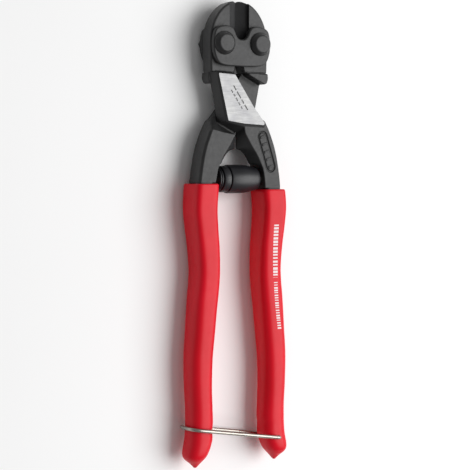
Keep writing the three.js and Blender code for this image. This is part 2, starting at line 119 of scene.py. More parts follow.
def inset(outline, by):
    """The outline moved inwards by a small distance."""
    before, after = np.roll(outline, 1, axis=0), np.roll(outline, -1, axis=0)
    normal_before = unit((outline - before)[:, ::-1] * [-1, 1])
    normal_after = unit((after - outline)[:, ::-1] * [-1, 1])
    normal = unit(normal_before + normal_after)
    stretch = np.clip(1 / np.maximum(np.sum(normal * normal_before, axis=1), 0.5), 1, 1.8)
    return outline + normal * (by * stretch * (1 if area(outline) > 0 else -1))[:, None]


# ---- mesh building ----


def new_object(name, vertices, faces):
    mesh = bpy.data.meshes.new(name)
    mesh.from_pydata([tuple(v) for v in vertices], [], faces)
    mesh.validate()
    obj = bpy.data.objects.new(name, mesh)
    bpy.context.scene.collection.objects.link(obj)
    return obj


def skin(name, rings):
    """Rings of equal length, in the row frame, joined into one closed surface with its faces turned out."""
    count = len(rings[0])
    vertices = np.vstack(rings)
    faces = []
    for r in range(len(rings) - 1):
        base = r * count
        for i in range(count):
            j = (i + 1) % count
            faces.append((base + i, base + j, base + count + j, base + count + i))
    faces.append(tuple(range(count))[::-1])
    faces.append(tuple((len(rings) - 1) * count + i for i in range(count)))
    obj = new_object(name, vertices, faces)
    turn_out(obj)
    return obj


def turn_out(obj):
    mesh = obj.data
    mesh.calc_loop_triangles()
    co = np.zeros(len(mesh.vertices) * 3)
    mesh.vertices.foreach_get("co", co)
    co = co.reshape(-1, 3)
    co = co - co.mean(axis=0)
    tri = np.zeros(len(mesh.loop_triangles) * 3, int)
    mesh.loop_triangles.foreach_get("vertices", tri)
    a, b, c = (co[tri.reshape(-1, 3)[:, k]] for k in range(3))
    if float(np.sum(a * np.cross(b, c))) < 0:
        mesh.flip_normals()


def slab(name, levels):
    """A closed piece from outlines in (x, down), each given with its z."""
    return skin(name, [row(np.c_[outline, np.full(len(outline), z)]) for outline, z in levels])


def rounded_slab(name, outline, low, high, radius, steps=4, count=220):
    """A plate with rounded rims."""
    line = resample(outline, count)
    levels = []
    for i in range(steps + 1):
        a = math.pi / 2 * i / steps
        levels.append((inset(line, radius * (1 - math.sin(a))), low + radius * (1 - math.cos(a))))
    for i in range(steps, -1, -1):
        a = math.pi / 2 * i / steps
        levels.append((inset(line, radius * (1 - math.sin(a))), high - radius * (1 - math.cos(a))))
    return slab(name, levels)


def drafted_slab(name, levels, count=300):
    """A forging half from (z, outline) levels, whose outlines have equal length."""
    together = resample(np.hstack([np.asarray(outline, float) for _, outline in levels]), count)
    return slab(name, [(together[:, 2 * i : 2 * i + 2], z) for i, (z, _) in enumerate(levels)])


def between(start, end, share):
    return np.asarray(start, float) + (np.asarray(end, float) - np.asarray(start, float)) * share


def turned(name, profile, axis, centre, segments=72):
    """A solid of revolution; the profile is (radius, height), and ends on the axis or closes on itself."""
    vertices, faces, rings = [], [], []
    x0, down0, z0 = centre
    for radius, height in profile:
        ring = []
        for k in range(1 if radius < 1e-9 else segments):
            a = 2 * math.pi * k / segments
            u, v = radius * math.cos(a), radius * math.sin(a)
            point = (x0 + u, down0 + v, z0 + height) if axis == "z" else (x0 + height, down0 + u, z0 + v)
            ring.append(len(vertices))
            vertices.append(point)
        rings.append(ring)
    for lower, upper in zip(rings, rings[1:]):
        for k in range(segments):
            m = (k + 1) % segments
            below = (lower[k % len(lower)], lower[m % len(lower)])
            above = (upper[m % len(upper)], upper[k % len(upper)])
            face = list(dict.fromkeys(below + above))
            if len(face) > 2:
                faces.append(tuple(face))
    obj = new_object(name, row(vertices), faces)
    turn_out(obj)
    return obj


def drill(radius, low, high, axis, centre, segments=72):
    return turned("drill", [(0, low), (radius, low), (radius, high), (0, high)], axis, centre, segments)


def tube(name, points, radius, sides=20):
    """A round wire along points in millimetres, with slightly rounded ends."""
    p = np.asarray(points, float)
    tangents = np.gradient(p, axis=0)
    tangents /= np.linalg.norm(tangents, axis=1)[:, None]
    normal = np.cross(tangents[0], [0.3, 0.2, 0.9])
    rings = []
    angles = 2 * np.pi * np.arange(sides) / sides

    def ring(at, tangent, normal, r):
        other = np.cross(tangent, normal)
        return row(at + r * (np.cos(angles)[:, None] * normal + np.sin(angles)[:, None] * other))

    for i, (at, tangent) in enumerate(zip(p, tangents)):
        normal = normal - tangent * float(normal @ tangent)
        normal /= np.linalg.norm(normal)
        if i == 0:
            rings.append(ring(at - tangent * radius * 0.3, tangent, normal, radius * 0.7))
        rings.append(ring(at, tangent, normal, radius))
        if i == len(p) - 1:
            rings.append(ring(at + tangent * radius * 0.3, tangent, normal, radius * 0.7))
    return skin(name, rings)


def apply_modifier(obj, kind, **settings):
    modifier = obj.modifiers.new(kind.lower(), kind)
    for key, value in settings.items():
        setattr(modifier, key, value)
    depsgraph = bpy.context.evaluated_depsgraph_get()
    made = bpy.data.meshes.new_from_object(obj.evaluated_get(depsgraph))
    obj.modifiers.clear()
    obj.data = made


def boolean(obj, other, operation):
    apply_modifier(obj, "BOOLEAN", object=other, operation=operation, solver="MANIFOLD")
    bpy.data.objects.remove(other)


def join(name, objects):
    """One object from several, with their meshes side by side."""
    vertices, faces, base = [], [], 0
    for o in objects:
        vertices += [v.co[:] for v in o.data.vertices]
        faces += [tuple(base + i for i in p.vertices) for p in o.data.polygons]
        base = len(vertices)
        bpy.data.objects.remove(o)
    return new_object(name, vertices, faces)


def smooth_shade(obj, angle=None):
    obj.data.polygons.foreach_set("use_smooth", [True] * len(obj.data.polygons))
    if angle is not None:
        obj.data.set_sharp_from_angle(angle=math.radians(angle))


def turn_round(obj):
    """Half a turn about the tool's long axis."""
    middle = Matrix.Translation((0, 0, REST_HEIGHT * MM))
    obj.data.transform(middle @ Matrix.Rotation(math.pi, 4, "Y") @ middle.inverted())


# ---- materials ----


class Material:
    """A node material that is built up one node at a time."""

    def __init__(self, name):
        self.material = bpy.data.materials.new(name)
        self.material.use_nodes = True
        self.nodes, self.links = self.material.node_tree.nodes, self.material.node_tree.links
        self.shader = self.nodes["Principled BSDF"]
        self.place = self.nodes.new("ShaderNodeTexCoord").outputs["Object"]

    def node(self, kind, **inputs):
        made = self.nodes.new(kind)
        for key, value in inputs.items():
            socket = made.inputs[key.replace("_", " ")]
            if isinstance(value, bpy.types.NodeSocket):
                self.links.new(value, socket)
            else:
                socket.default_value = value
        return made

    def stretched(self, scale):
        made = self.node("ShaderNodeMapping", Vector=self.place)
        made.inputs["Scale"].default_value = scale
        return made.outputs["Vector"]

    def noise(self, scale, detail=4.0, roughness=0.55, vector=None):
        where = vector or self.place
        settings = {"Scale": scale, "Detail": detail, "Roughness": roughness}
        return self.node("ShaderNodeTexNoise", Vector=where, **settings).outputs["Fac"]

    def ramp(self, value, stops):
        made = self.node("ShaderNodeValToRGB", Fac=value)
        elements = made.color_ramp.elements
        while len(elements) < len(stops):
            elements.new(0.5)
        for element, (position, colour) in zip(elements, stops):
            element.position = position
            element.color = (*colour, 1) if isinstance(colour, tuple) else (colour, colour, colour, 1)
        return made.outputs["Color"]

    def mix(self, share, a, b):
        made = self.nodes.new("ShaderNodeMix")
        made.data_type = "RGBA"
        for socket, value in ((made.inputs[0], share), (made.inputs[6], a), (made.inputs[7], b)):
            if isinstance(value, bpy.types.NodeSocket):
                self.links.new(value, socket)
            elif isinstance(value, tuple):
                socket.default_value = (*value, 1)
            else:
                socket.default_value = value
        return made.outputs[2]

    def math(self, operation, *values):
        made = self.nodes.new("ShaderNodeMath")
        made.operation = operation
        for socket, value in zip(made.inputs, values):
            if isinstance(value, bpy.types.NodeSocket):
                self.links.new(value, socket)
            else:
                socket.default_value = value
        return made.outputs[0]

    def vector(self, x):
        return self.node("ShaderNodeCombineXYZ", X=x).outputs["Vector"]

    def bump(self, heights):
        """Bumps stacked on each other, each (height, strength, distance in metres)."""
        normal = None
        for height, strength, distance in heights:
            made = self.node("ShaderNodeBump", Height=height, Strength=strength, Distance=distance)
            if normal:
                self.links.new(normal, made.inputs["Normal"])
            normal = made.outputs["Normal"]
        self.links.new(normal, self.shader.inputs["Normal"])

    def set(self, **inputs):
        for key, value in inputs.items():
            socket = self.shader.inputs[key.replace("_", " ")]
            if isinstance(value, bpy.types.NodeSocket):
                self.links.new(value, socket)
            else:
                socket.default_value = (*value, 1) if isinstance(value, tuple) else value
        return self.material


def forged_metal(name, dark, light, rough, specular):
    """Blackened steel: nearly black, with the sheen of its oxide skin."""
    m = Material(name)
    patches = m.noise(140, 5)
    grain = m.noise(2600, 3)
    pits = m.noise(900, 6, 0.7)
    worn = m.node("ShaderNodeNewGeometry").outputs["Pointiness"]
    edge = m.ramp(worn, [(0.53, 0.0), (0.62, 0.35)])
    base = m.mix(m.ramp(patches, [(0.35, 0.0), (0.65, 1.0)]), dark, light)
    speckled = m.mix(m.ramp(grain, [(0.4, 0.0), (0.75, 0.3)]), base, tuple(c * 1.6 for c in light))
    colour = m.mix(edge, speckled, tuple(c * 2.5 for c in light))
    roughness = m.ramp(pits, [(0.3, rough - 0.07), (0.7, rough + 0.09)])
    m.bump([(pits, 0.22, 0.0001), (grain, 0.2, 0.00004)])
    return m.set(Base_Color=colour, Roughness=roughness, Metallic=0.0, Specular_IOR_Level=specular)


def ground_steel(name):
    """Bare steel with fine grinding marks across the face."""
    m = Material(name)
    streaks = m.noise(900, 4, 0.6, m.stretched((0.12, 1.6, 1.0)))
    fine = m.noise(2600, 3, 0.6, m.stretched((0.1, 1.5, 1.0)))
    cloud = m.noise(160, 3)
    colour = m.mix(m.ramp(cloud, [(0.35, 0.0), (0.7, 1.0)]), (0.22, 0.22, 0.225), (0.28, 0.28, 0.275))
    tinted = m.mix(m.ramp(streaks, [(0.35, 0.35), (0.6, 0.0)]), colour, (0.15, 0.15, 0.155))
    m.bump([(streaks, 0.25, 0.00004), (fine, 0.2, 0.00002)])
    return m.set(
        Base_Color=tinted, Roughness=m.ramp(fine, [(0.3, 0.38), (0.7, 0.5)]), Metallic=1.0, Anisotropic=0.4
    )


def bright_steel(name, colour, rough):
    """Drawn and plated steel."""
    m = Material(name)
    streaks = m.noise(1500, 4, 0.6)
    cloud = m.noise(260, 4)
    tinted = m.mix(m.ramp(cloud, [(0.35, 0.0), (0.7, 1.0)]), colour, tuple(c * 0.8 for c in colour))
    m.bump([(streaks, 0.06, 0.00002)])
    roughness = m.ramp(streaks, [(0.3, rough - 0.06), (0.7, rough + 0.1)])
    return m.set(Base_Color=tinted, Roughness=roughness, Metallic=1.0)


# Two rows of print, bold and thin: start, end, pitch, half height and the share that is printed.
PRINT_ROWS = ((96.0, 119.0, 1.45, 1.2, 0.6), (121.0, 141.5, 1.1, 0.95, 0.5))
# The middle line of the print is a parabola: its waist, its x there, and its bend.
PRINT_WAIST, PRINT_X, PRINT_BEND = 110.0, 16.5, 0.0026
# How much the share varies from bar to bar, and how far below its row's share it can fall.
BAR_SPREAD, BAR_SHORTFALL = 0.35, 0.17


def printed_bars(m):
    """Where plain bars of uneven width are printed along the front of the right grip, as 0 or 1."""
    place = m.node("ShaderNodeSeparateXYZ", Vector=m.place)
    down = m.math("MULTIPLY_ADD", place.outputs["Y"], -1 / MM, CROWN_Y)
    from_waist = m.math("ADD", down, -PRINT_WAIST)
    bend = m.math("MULTIPLY", m.math("MULTIPLY", from_waist, from_waist), PRINT_BEND)
    across = m.math("SUBTRACT", m.math("MULTIPLY_ADD", place.outputs["X"], 1 / MM, -PRINT_X), bend)
    across = m.math("ABSOLUTE", across)
    mask = 0.0
    for start, end, pitch, height, share in PRINT_ROWS:
        turns = m.math("MULTIPLY", down, 1 / pitch)
        cell = m.node("ShaderNodeTexWhiteNoise", Vector=m.vector(m.math("FLOOR", turns)))
        width = m.math("MULTIPLY_ADD", cell.outputs["Value"], BAR_SPREAD, share - BAR_SHORTFALL)
        on = m.math("LESS_THAN", m.math("FRACT", turns), width)
        for test in (
            m.math("GREATER_THAN", down, start),
            m.math("LESS_THAN", down, end),
            m.math("LESS_THAN", across, height),
            m.math("GREATER_THAN", place.outputs["Z"], (REST_HEIGHT + 2) * MM),
        ):
            on = m.math("MULTIPLY", on, test)
        mask = m.math("ADD", on, mask)
    return mask


def dipped_vinyl(name, printed=False):
    """Smooth red vinyl, slightly wavy as it dried, with worn print if asked."""
    m = Material(name)
    waves = m.noise(70, 2, 0.4)
    skin_noise = m.noise(420, 4, 0.6)
    fine = m.noise(2200, 3, 0.6)
    base = m.mix(m.ramp(waves, [(0.3, 0.0), (0.7, 1.0)]), (0.66, 0.001, 0.012), (0.72, 0.001, 0.015))
    colour = m.mix(m.ramp(skin_noise, [(0.55, 0.0), (0.8, 0.15)]), base, (0.58, 0.001, 0.01))
    if printed:
        worn = m.ramp(fine, [(0.3, 1.0), (0.62, 0.8)])
        colour = m.mix(m.math("MULTIPLY", printed_bars(m), worn), colour, (0.85, 0.83, 0.83))
    m.bump([(waves, 0.25, 0.0005), (skin_noise, 0.05, 0.00005), (fine, 0.03, 0.00001)])
    return m.set(
        Base_Color=colour,
        Roughness=m.ramp(skin_noise, [(0.3, 0.36), (0.75, 0.44)]),
        Metallic=0.0,
        Specular_IOR_Level=0.24,
    )


def moulded_plastic(name, colour, rough):
    """Black plastic with a fine mould grain."""
    m = Material(name)
    grain = m.noise(1800, 4, 0.6)
    cloud = m.noise(200, 3)
    tinted = m.mix(m.ramp(cloud, [(0.3, 0.0), (0.7, 1.0)]), colour, tuple(c * 1.6 for c in colour))
    m.bump([(grain, 0.25, 0.00004)])
    roughness = m.ramp(grain, [(0.3, rough - 0.07), (0.7, rough + 0.1)])
    return m.set(Base_Color=tinted, Roughness=roughness, Metallic=0.0)


FORGED = forged_metal("forged_steel", (0.014, 0.014, 0.0145), (0.022, 0.022, 0.0225), 0.44, 0.4)
FASTENER = forged_metal("dark_fastener", (0.012, 0.012, 0.0125), (0.019, 0.019, 0.0195), 0.4, 0.38)
CUTTING = forged_metal("cutting_bevel", (0.012, 0.012, 0.013), (0.018, 0.018, 0.019), 0.36, 0.22)
GROUND = ground_steel("ground_face")
ENGRAVED = forged_metal("engraved_mark", (0.12, 0.12, 0.12), (0.25, 0.25, 0.25), 0.6, 0.4)
BRIGHT = bright_steel("bright_wire", (0.42, 0.39, 0.35), 0.3)
VINYL = dipped_vinyl("red_vinyl")
PRINTED_VINYL = dipped_vinyl("printed_vinyl", printed=True)
PLASTIC = moulded_plastic("black_plastic", (0.008, 0.008, 0.01), 0.4)


def finish_piece(obj, body, nodes, slot, *materials):
    obj.data.materials.clear()
    for material in materials:
        obj.data.materials.append(material)
    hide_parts(*nodes)
    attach(obj, body)


# ---- levers ----


def inner_edge(down):
    """How far the jaw's inner edge stands from the tool's middle: straight, then round, then relieved."""
    below = down - PIVOT_DOWN
    if below <= 0:
        return EDGE_GAP
    if below < PIVOT_X * math.sin(RELIEF):
        return EDGE_GAP + PIVOT_X - math.sqrt(PIVOT_X**2 - below**2)
    return EDGE_GAP + PIVOT_X - (PIVOT_X - below * math.sin(RELIEF)) / math.cos(RELIEF)


def outer_edge(end):
    upper = [(13.1, 51.4), (15.3, 55.6), (17.5, 61), (18.6, 64.6)]
    return [*upper, (19.4, 68), (20.2, 72.4), (20.8, 76.6), (21.1, end)]


def inner_face(end):
    """The handle's inner edge at its face."""
    upper = [(5.4, 61.4), (7, 63.8), (8.3, 65.6), (9.5, 67.7)]
    return [*upper, (10.4, 69.6), (11.4, 72), (12.1, 75.5), (12.6, end)]


def inner_middle(end):
    """The handle's inner edge where its two halves meet."""
    upper = [(0.3, 63.4), (2.7, 64.1), (4.8, 66.1), (6.3, 68.4)]
    return [*upper, (7.2, 69.7), (10.6, 70.5), (11.8, 74), (12.6, end)]


def jaw_plate():
    """The jaw, left a little wide along its inner edge, which is ground to size later."""
    spare = 0.8
    crown = [(spare, 0.75), (-0.3, 0.6), (-0.9, 0.25), (-1.7, 0.12)]
    angles = np.radians(np.linspace(83, 0, 44))
    dome = np.stack([-JAW_HALF_WIDTH * np.cos(angles), PIVOT_DOWN * (1 - np.sin(angles))], axis=1)
    tail = [(-14.4, 24), (-14.2, TAIL_DOWN + 0.4)]
    inner = [(spare - inner_edge(d), d) for d in np.linspace(TAIL_DOWN + 0.4, PIVOT_DOWN, 30)]
    outline = np.vstack([crown, dome, tail, inner])
    return rounded_slab("jaw", outline, -JAW_HALF_THICK, JAW_HALF_THICK, 0.8, 3, 300)


def edge_cutter():
    """Everything inside the jaw's inner edge, to just past its tail."""
    end = TAIL_DOWN + 0.5
    inner = [(-inner_edge(d), d) for d in np.linspace(-2, end, 60)]
    outline = np.array([*inner, (6.0, end), (6.0, -2.0)])
    return slab("edge", [(outline, -JAW_HALF_THICK - 1), (outline, JAW_HALF_THICK + 1)])


HOLLOW_X, HOLLOW_END = -4.95, 17.3


def edge_hollow(sign):
    """The ground hollow beside the cutting edge, as a cutter."""
    wall = [(HOLLOW_X, 4.6), (HOLLOW_X, 1.85)]
    slope = [(-4.8, 1.65), (-4.5, 1.54), (1.0, -0.18), (1.0, 4.6)]
    rings = [row([(x, down, sign * z) for x, z in wall + slope]) for down in (-2.0, HOLLOW_END)]
    return skin("hollow", rings)


# Heights of a handle half, how far its outer wall is drawn in there, and how far its inner wall has come
# from the middle plane to the face.
HANDLE_LEVELS = [(LAP, 0, 0), (BEVEL_START, 0.1, 0.8), (LEVER_HALF_THICK, 1.0, 1.0)]


def handle_half(name, end, direction, start, first_corners, last_corners):
    """The front half of a handle (direction 1) or its rear half (-1).

    Each pair of corners is given where the halves meet and at the face.
    """
    outer, middle, face = outer_edge(end)[start:], inner_middle(end), inner_face(end)
    levels = []
    for z, draw, share in HANDLE_LEVELS:
        drawn = spline([(x - draw, down) for x, down in outer], 6)
        inner = spline(between(middle, face, share), 6)[::-1]
        outline = np.vstack([between(*first_corners, share), drawn, inner, between(*last_corners, share)])
        # Both halves start at the same plane, LAP in front of the middle.
        levels.append((LAP if share == 0 else direction * z, outline))
    return drafted_slab(name, levels)


def handle_front(end):
    in_arm = ([(2, 51), (11.4, 49.6)], [(4, 51.5), (11, 50.5)])
    crotch = ([(-0.1, 57.7), (0.8, 54)], [(2.3, 56.6), (1.8, 54.2)])
    return handle_half("handle_front", end, 1, 0, in_arm, crotch)


def handle_rear(end):
    """The rear half, with a ramp that climbs from the arm to the handle's face."""
    ramp_foot = [(2.2, 56.2), (9.75, 52.35), (10.6, 49.2), (12.9, 51.2)]
    ramp_top = [(5, 56.8), (8.6, 56.3), (11.5, 55.7), (14.0, 55.1)]
    crotch = ([(0.3, 57.5)], [(2.7, 57.1)])
    return handle_half("handle_rear", end, -1, 1, (ramp_foot, ramp_top), crotch)


def arm():
    """The arm between jaw and handle, left a little high for its face to be ground."""
    middle = [(-13.9, TAIL_DOWN), (-3.7, TAIL_DOWN), (6.1, 45), (13.1, 51.4)]
    middle += [(13.4, 56.4), (-0.1, 56.4), (-9.3, 51.9)]
    shoulder = [(-12.2, 30.5), (-3.7, 30.7), (5.9, 45), (12.1, 51.8)]
    shoulder += [(12.2, 54.2), (1.4, 53.7), (-7.6, 51.9)]
    face = [(-11.5, 31.3), (-3.3, 31.8), (5.9, 45), (11.6, 52)]
    face += [(11.4, 52.9), (1.5, 52.3), (-6.6, 51.2)]
    levels = [(LAP, middle), (LEVER_HALF_THICK, shoulder), (ARM_FACE, face), (ARM_FACE + 0.5, face)]
    return drafted_slab("arm", levels, 400)


def lobe():
    """The thick foot of the jaw, behind the arm."""
    corners = [(-3.9, 30.9), (-5, 32), (-11.3, 35.1), (-12.1, 35.5)]
    corners += [(-13.4, 35), (-14.1, 33), (-13.9, 30.9)]
    return rounded_slab("lobe", spline(corners, 4), -LEVER_HALF_THICK, 1.0, 0.5, 3, 160)


OVAL_ENDS = ((11.1, 58.0), (15.3, 70.9))
GROOVE_OUTER, GROOVE_INNER, GROOVE_DEPTH = 2.4, 1.7, 0.5


def stadium(radius, steps=24):
    """A slot's outline round the two ends of the oval."""
    start, finish = OVAL_ENDS
    lean = math.atan2(finish[1] - start[1], finish[0] - start[0])
    points = []
    for end, (x, down) in enumerate(OVAL_ENDS):
        for i in range(steps + 1):
            a = lean + math.pi / 2 + (math.pi if end else 0) + math.pi * i / steps
            points.append((x + radius * math.cos(a), down + radius * math.sin(a)))
    return np.array(points)


def wedge(name, pivot_x, profile, beyond=0.0):
    """The tooth or its notch: a wedge along a radius of the pivot, from (radius, half height) pairs."""
    towards = -math.copysign(1, pivot_x)
    along = (towards * math.cos(TOOTH_ANGLE), math.sin(TOOTH_ANGLE))
    across = (-along[1], along[0])
    corners = profile + [(r, -h) for r, h in profile[::-1]]
    outline = np.array([np.dot(corner, (along, across)) + (pivot_x, PIVOT_DOWN) for corner in corners])
    reach = JAW_HALF_THICK + beyond
    return slab(name, [(outline, -reach), (outline, reach)])


# How far the shank, and the sleeve's bore, are drawn in from the sleeve at the sides and in front.
SHANK_INSET, BORE_INSET = (1.9, 2.25), (1.6, 1.95)


def grip_sections(top):
    """Control sections of a grip: down, centre, half width, half thickness, squareness."""
    return np.array(
        [
            (top, 17.05, 5.5, 6.8, 5),
            (top + 1.5, 17.1, 5.75, 7.05, 5),
            (89, 17.6, 5.7, 7, 5),
            (97, 17, 5.6, 6.9, 4.6),
            (105, 16.1, 5.5, 6.8, 4.2),
            (113.7, 15.6, 5.4, 6.7, 3.8),
            (120, 15.8, 5.5, 6.6, 3.6),
            (126, 16.4, 5.65, 6.5, 3.4),
            (133, 17.1, 5.65, 6.4, 3.2),
            (141, 17.75, 5.65, 6.3, 3),
            (153, 18.75, 5.6, 6.1, 2.8),
            (165, 18.8, 5.5, 5.9, 2.6),
            (174, 18.4, 5.5, 5.8, 2.5),
            (180, 18.3, 5.6, 5.75, 2.5),
            (183, 18.5, 5.5, 5.65, 2.5),
            (187, 18.6, 5.7, 5.75, 2.5),
            (189.5, 19.1, 5.6, 5.85, 2.5),
            (192.2, 19.9, 5.45, 5.75, 2.4),
            (194.4, 20.5, 4.95, 5.3, 2.3),
            (196, 20.7, 3.9, 4.2, 2.2),
            (197.4, 20.45, 2.5, 2.65, 2.1),
            (198.6, 20.3, 1.35, 1.4, 2),
            (199.3, 20.3, 0.75, 0.75, 2),
        ]
    )


def section_ring(section, sides):
    down, x, half_width, half_thick, power = section
    a = 2 * np.pi * (np.arange(sides) + 0.5) / sides
    c, s = np.cos(a), np.sin(a)
    px = x + half_width * np.sign(c) * np.abs(c) ** (2 / power)
    pz = half_thick * np.sign(s) * np.abs(s) ** (2 / power)
    return row(np.stack([px, np.full(sides, down), pz], axis=1))


def core_sections(top, wall, front_wall):
    """Sections inside a grip, drawn in by its wall."""
    dense = spline(grip_sections(top), 3)
    inside = [section for section in dense if top + 1 < section[0] < SHANK_END]
    return [(down, x, w - wall, t - front_wall, power + 1) for down, x, w, t, power in inside]


def shank(top):
    core = core_sections(top, *SHANK_INSET)
    first = (top - 1.5, *core[0][1:])
    return skin("shank", [section_ring(c, 48) for c in [first, *core]])


def raised_bars():
    """A row of plain bars in the oval."""
    start, end = (np.array(e) for e in OVAL_ENDS)
    along = (end - start) / np.linalg.norm(end - start)
    across = np.array([-along[1], along[0]])
    bars = []
    for share in (0.0, 0.25, 0.5, 0.75, 1.0):
        middle = start + (end - start) * share
        corners = [(-0.6, -1.2), (0.6, -1.2), (0.6, 1.2), (-0.6, 1.2)]
        outline = np.array([middle + along * u + across * v for u, v in corners])
        low, high = LEVER_HALF_THICK - 0.6, LEVER_HALF_THICK + 0.3
        bars.append(rounded_slab("bar", outline, low, high, 0.2, 2, 40))
    return bars


TOOTH = [(7, 1.0), (8.1, 0.85), (9, 0.6), (9.7, 0.35)]
NOTCH = [(7.7, 0.75), (9, 1.15), (9.5, 1.3)]
LATCH_AT = (LATCH_X, LATCH_DOWN, 0)


def cut_oval(body):
    """A narrow groove round an island."""
    outer, inner = stadium(GROOVE_OUTER), stadium(GROOVE_INNER)
    groove = slab("groove", [(outer, LEVER_HALF_THICK - GROOVE_DEPTH), (outer, 7.0)])
    boolean(groove, slab("island", [(inner, 3.0), (inner, 8.0)]), "DIFFERENCE")
    boolean(body, groove, "DIFFERENCE")


def grind_face(body):
    cap = np.array([(-30.0, 20), (30, 20), (30, 57), (-30, 57)])
    boolean(body, slab("ground", [(cap, ARM_FACE), (cap, FAR)]), "DIFFERENCE")


def forging(name, side):
    """A whole lever: joined, remeshed and smoothed as a forging, and then machined."""
    top = GRIP_TOPS[side]
    end = top - 0.5
    body = join(name, [jaw_plate(), arm(), lobe(), handle_front(end), handle_rear(end)])
    apply_modifier(body, "REMESH", mode="VOXEL", voxel_size=VOXEL * MM)
    cut_oval(body)
    apply_modifier(body, "REMESH", mode="VOXEL", voxel_size=SECOND_VOXEL * MM)
    apply_modifier(body, "SMOOTH", factor=0.5, iterations=3)
    for bar in raised_bars():
        boolean(body, bar, "UNION")
    boolean(body, edge_cutter(), "DIFFERENCE")
    for sign in (1, -1):
        boolean(body, edge_hollow(sign), "DIFFERENCE")
    if side == "left":
        tooth = wedge("tooth", PIVOT_X, TOOTH)
        turn_round(tooth)
        boolean(body, tooth, "UNION")
    else:
        boolean(body, wedge("notch", -PIVOT_X, NOTCH, 1.0), "DIFFERENCE")
    boolean(body, drill(BUSH_RADIUS + 0.05, -FAR, FAR, "z", (-PIVOT_X, PIVOT_DOWN, 0)), "DIFFERENCE")
    grind_face(body)
    boolean(body, drill(PEG_RADIUS + 0.05, 8, 15, "x", (0, SPRING_DOWN, 0), 48), "DIFFERENCE")
    core = shank(top)
    if side == "right":
        boolean(core, drill(CORE_HOLE_RADIUS, -FAR, FAR, "z", LATCH_AT, 48), "DIFFERENCE")
    boolean(body, core, "UNION")
    engrave(body)
    smooth_shade(body, 38)
    mark_ground(body)
    if side == "left":
        turn_round(body)
    return body


DASH_DEPTH, DASH_HALF_WIDTH, DASH_GAP = 0.15, 0.3, 0.7
# Each row of dashes: its distance from the slanting edge, where it begins and the lengths.
DASH_ROWS = ((3.4, 3.2, (2.4, 3.4, 2.0, 2.6)), (5.4, 4.0, (1.5, 1.2, 1.7, 1.4, 1.2)))
# The slanting edge of the ground face: its upper corner and its run.
FACE_CORNER, FACE_SLANT = (-3.3, 31.8), (9.2, 13.2)


def engrave(body):
    """Two rows of plain dashes cut into the ground face, along its slanting edge."""
    along = np.array(FACE_SLANT) / math.hypot(*FACE_SLANT)
    across = np.array([-along[1], along[0]])
    half = DASH_HALF_WIDTH
    for offset, begin, lengths in DASH_ROWS:
        at = begin
        for length in lengths:
            corners = [(0, -half), (length, -half), (length, half), (0, half)]
            outline = np.array([FACE_CORNER + along * (at + s) + across * (offset + t) for s, t in corners])
            dash = slab("dash", [(outline, ARM_FACE - DASH_DEPTH), (outline, ARM_FACE + 1)])
            boolean(body, dash, "DIFFERENCE")
            at += length + DASH_GAP


LEVER_MATERIALS = (FORGED, GROUND, ENGRAVED, CUTTING)
GROUND_INDEX, ENGRAVED_INDEX, CUTTING_INDEX = 1, 2, 3


def mark_ground(body):
    """Gives each ground surface of a forging its own material."""
    mesh = body.data
    count = len(mesh.polygons)
    centre, normal = np.zeros(count * 3), np.zeros(count * 3)
    mesh.polygons.foreach_get("center", centre)
    mesh.polygons.foreach_get("normal", normal)
    x, y, z = (centre.reshape(-1, 3) / MM - (0, 0, REST_HEIGHT)).T
    nx, _, nz = normal.reshape(-1, 3).T
    down = CROWN_Y - y
    index = np.zeros(count, int)
    index[(z > ARM_FACE - 0.02) & (nz > 0.99)] = GROUND_INDEX
    index[(np.abs(z - (ARM_FACE - DASH_DEPTH)) < 0.01) & (nz > 0.99)] = ENGRAVED_INDEX
    in_hollow = (x > HOLLOW_X) & (down < HOLLOW_END + 0.05) & (np.abs(z) < JAW_HALF_THICK - 0.1)
    index[in_hollow & (nx > 0.25)] = CUTTING_INDEX
    mesh.materials.clear()
    for material in LEVER_MATERIALS:
        mesh.materials.append(material)
    mesh.polygons.foreach_set("material_index", index)
    mesh.update()


for side, body in (("right", "right_lever"), ("left", "left_lever")):
    lever = forging(side + "_lever_look", side)
    marked = [p.material_index for p in lever.data.polygons]
    finish_piece(lever, body, [side + "_lever"], "forged_steel", *LEVER_MATERIALS)
    # finish_piece clears the materials, and the indices with them.
    lever.data.polygons.foreach_set("material_index", marked)


# ---- link plates, bolts, nuts, bushes ----

# The right half of the plates' outline, from the notch round to the bottom.
PLATE_RIGHT = [(0.4, 16.7), (1.1, 16.6), (2.1, 16), (3, 14.7), (3.8, 12.9), (4.8, 11.7), (6.3, 11.1)]
PLATE_RIGHT += [(8.2, 10.9), (11.2, 11.5), (13.2, 12.8), (14.1, 15.6), (14.4, 18.5), (14.2, 21.4)]
PLATE_RIGHT += [(13.6, 23.7), (12.8, 25.5), (11.3, 27.1), (8.5, 27.9), (5, 28.1), (0, 28.2)]


def link_plate(name):
    right = spline(PLATE_RIGHT, 8)
    outline = np.vstack([right, (right * [-1, 1])[::-1]])
    made = rounded_slab(name, outline, PLATE_INNER, PLATE_OUTER, 0.65, 5, 320)
    for x in (-PIVOT_X, PIVOT_X):
        boolean(made, drill(BOLT_RADIUS + 0.05, -FAR, FAR, "z", (x, PIVOT_DOWN, 0)), "DIFFERENCE")
    smooth_shade(made, 40)
    return made


front = link_plate("front_plate_look")
finish_piece(front, "link", ["front_link_plate"], "forged_steel", FORGED)
rear = link_plate("rear_plate_look")
turn_round(rear)
finish_piece(rear, "link", ["rear_link_plate"], "forged_steel", FORGED)

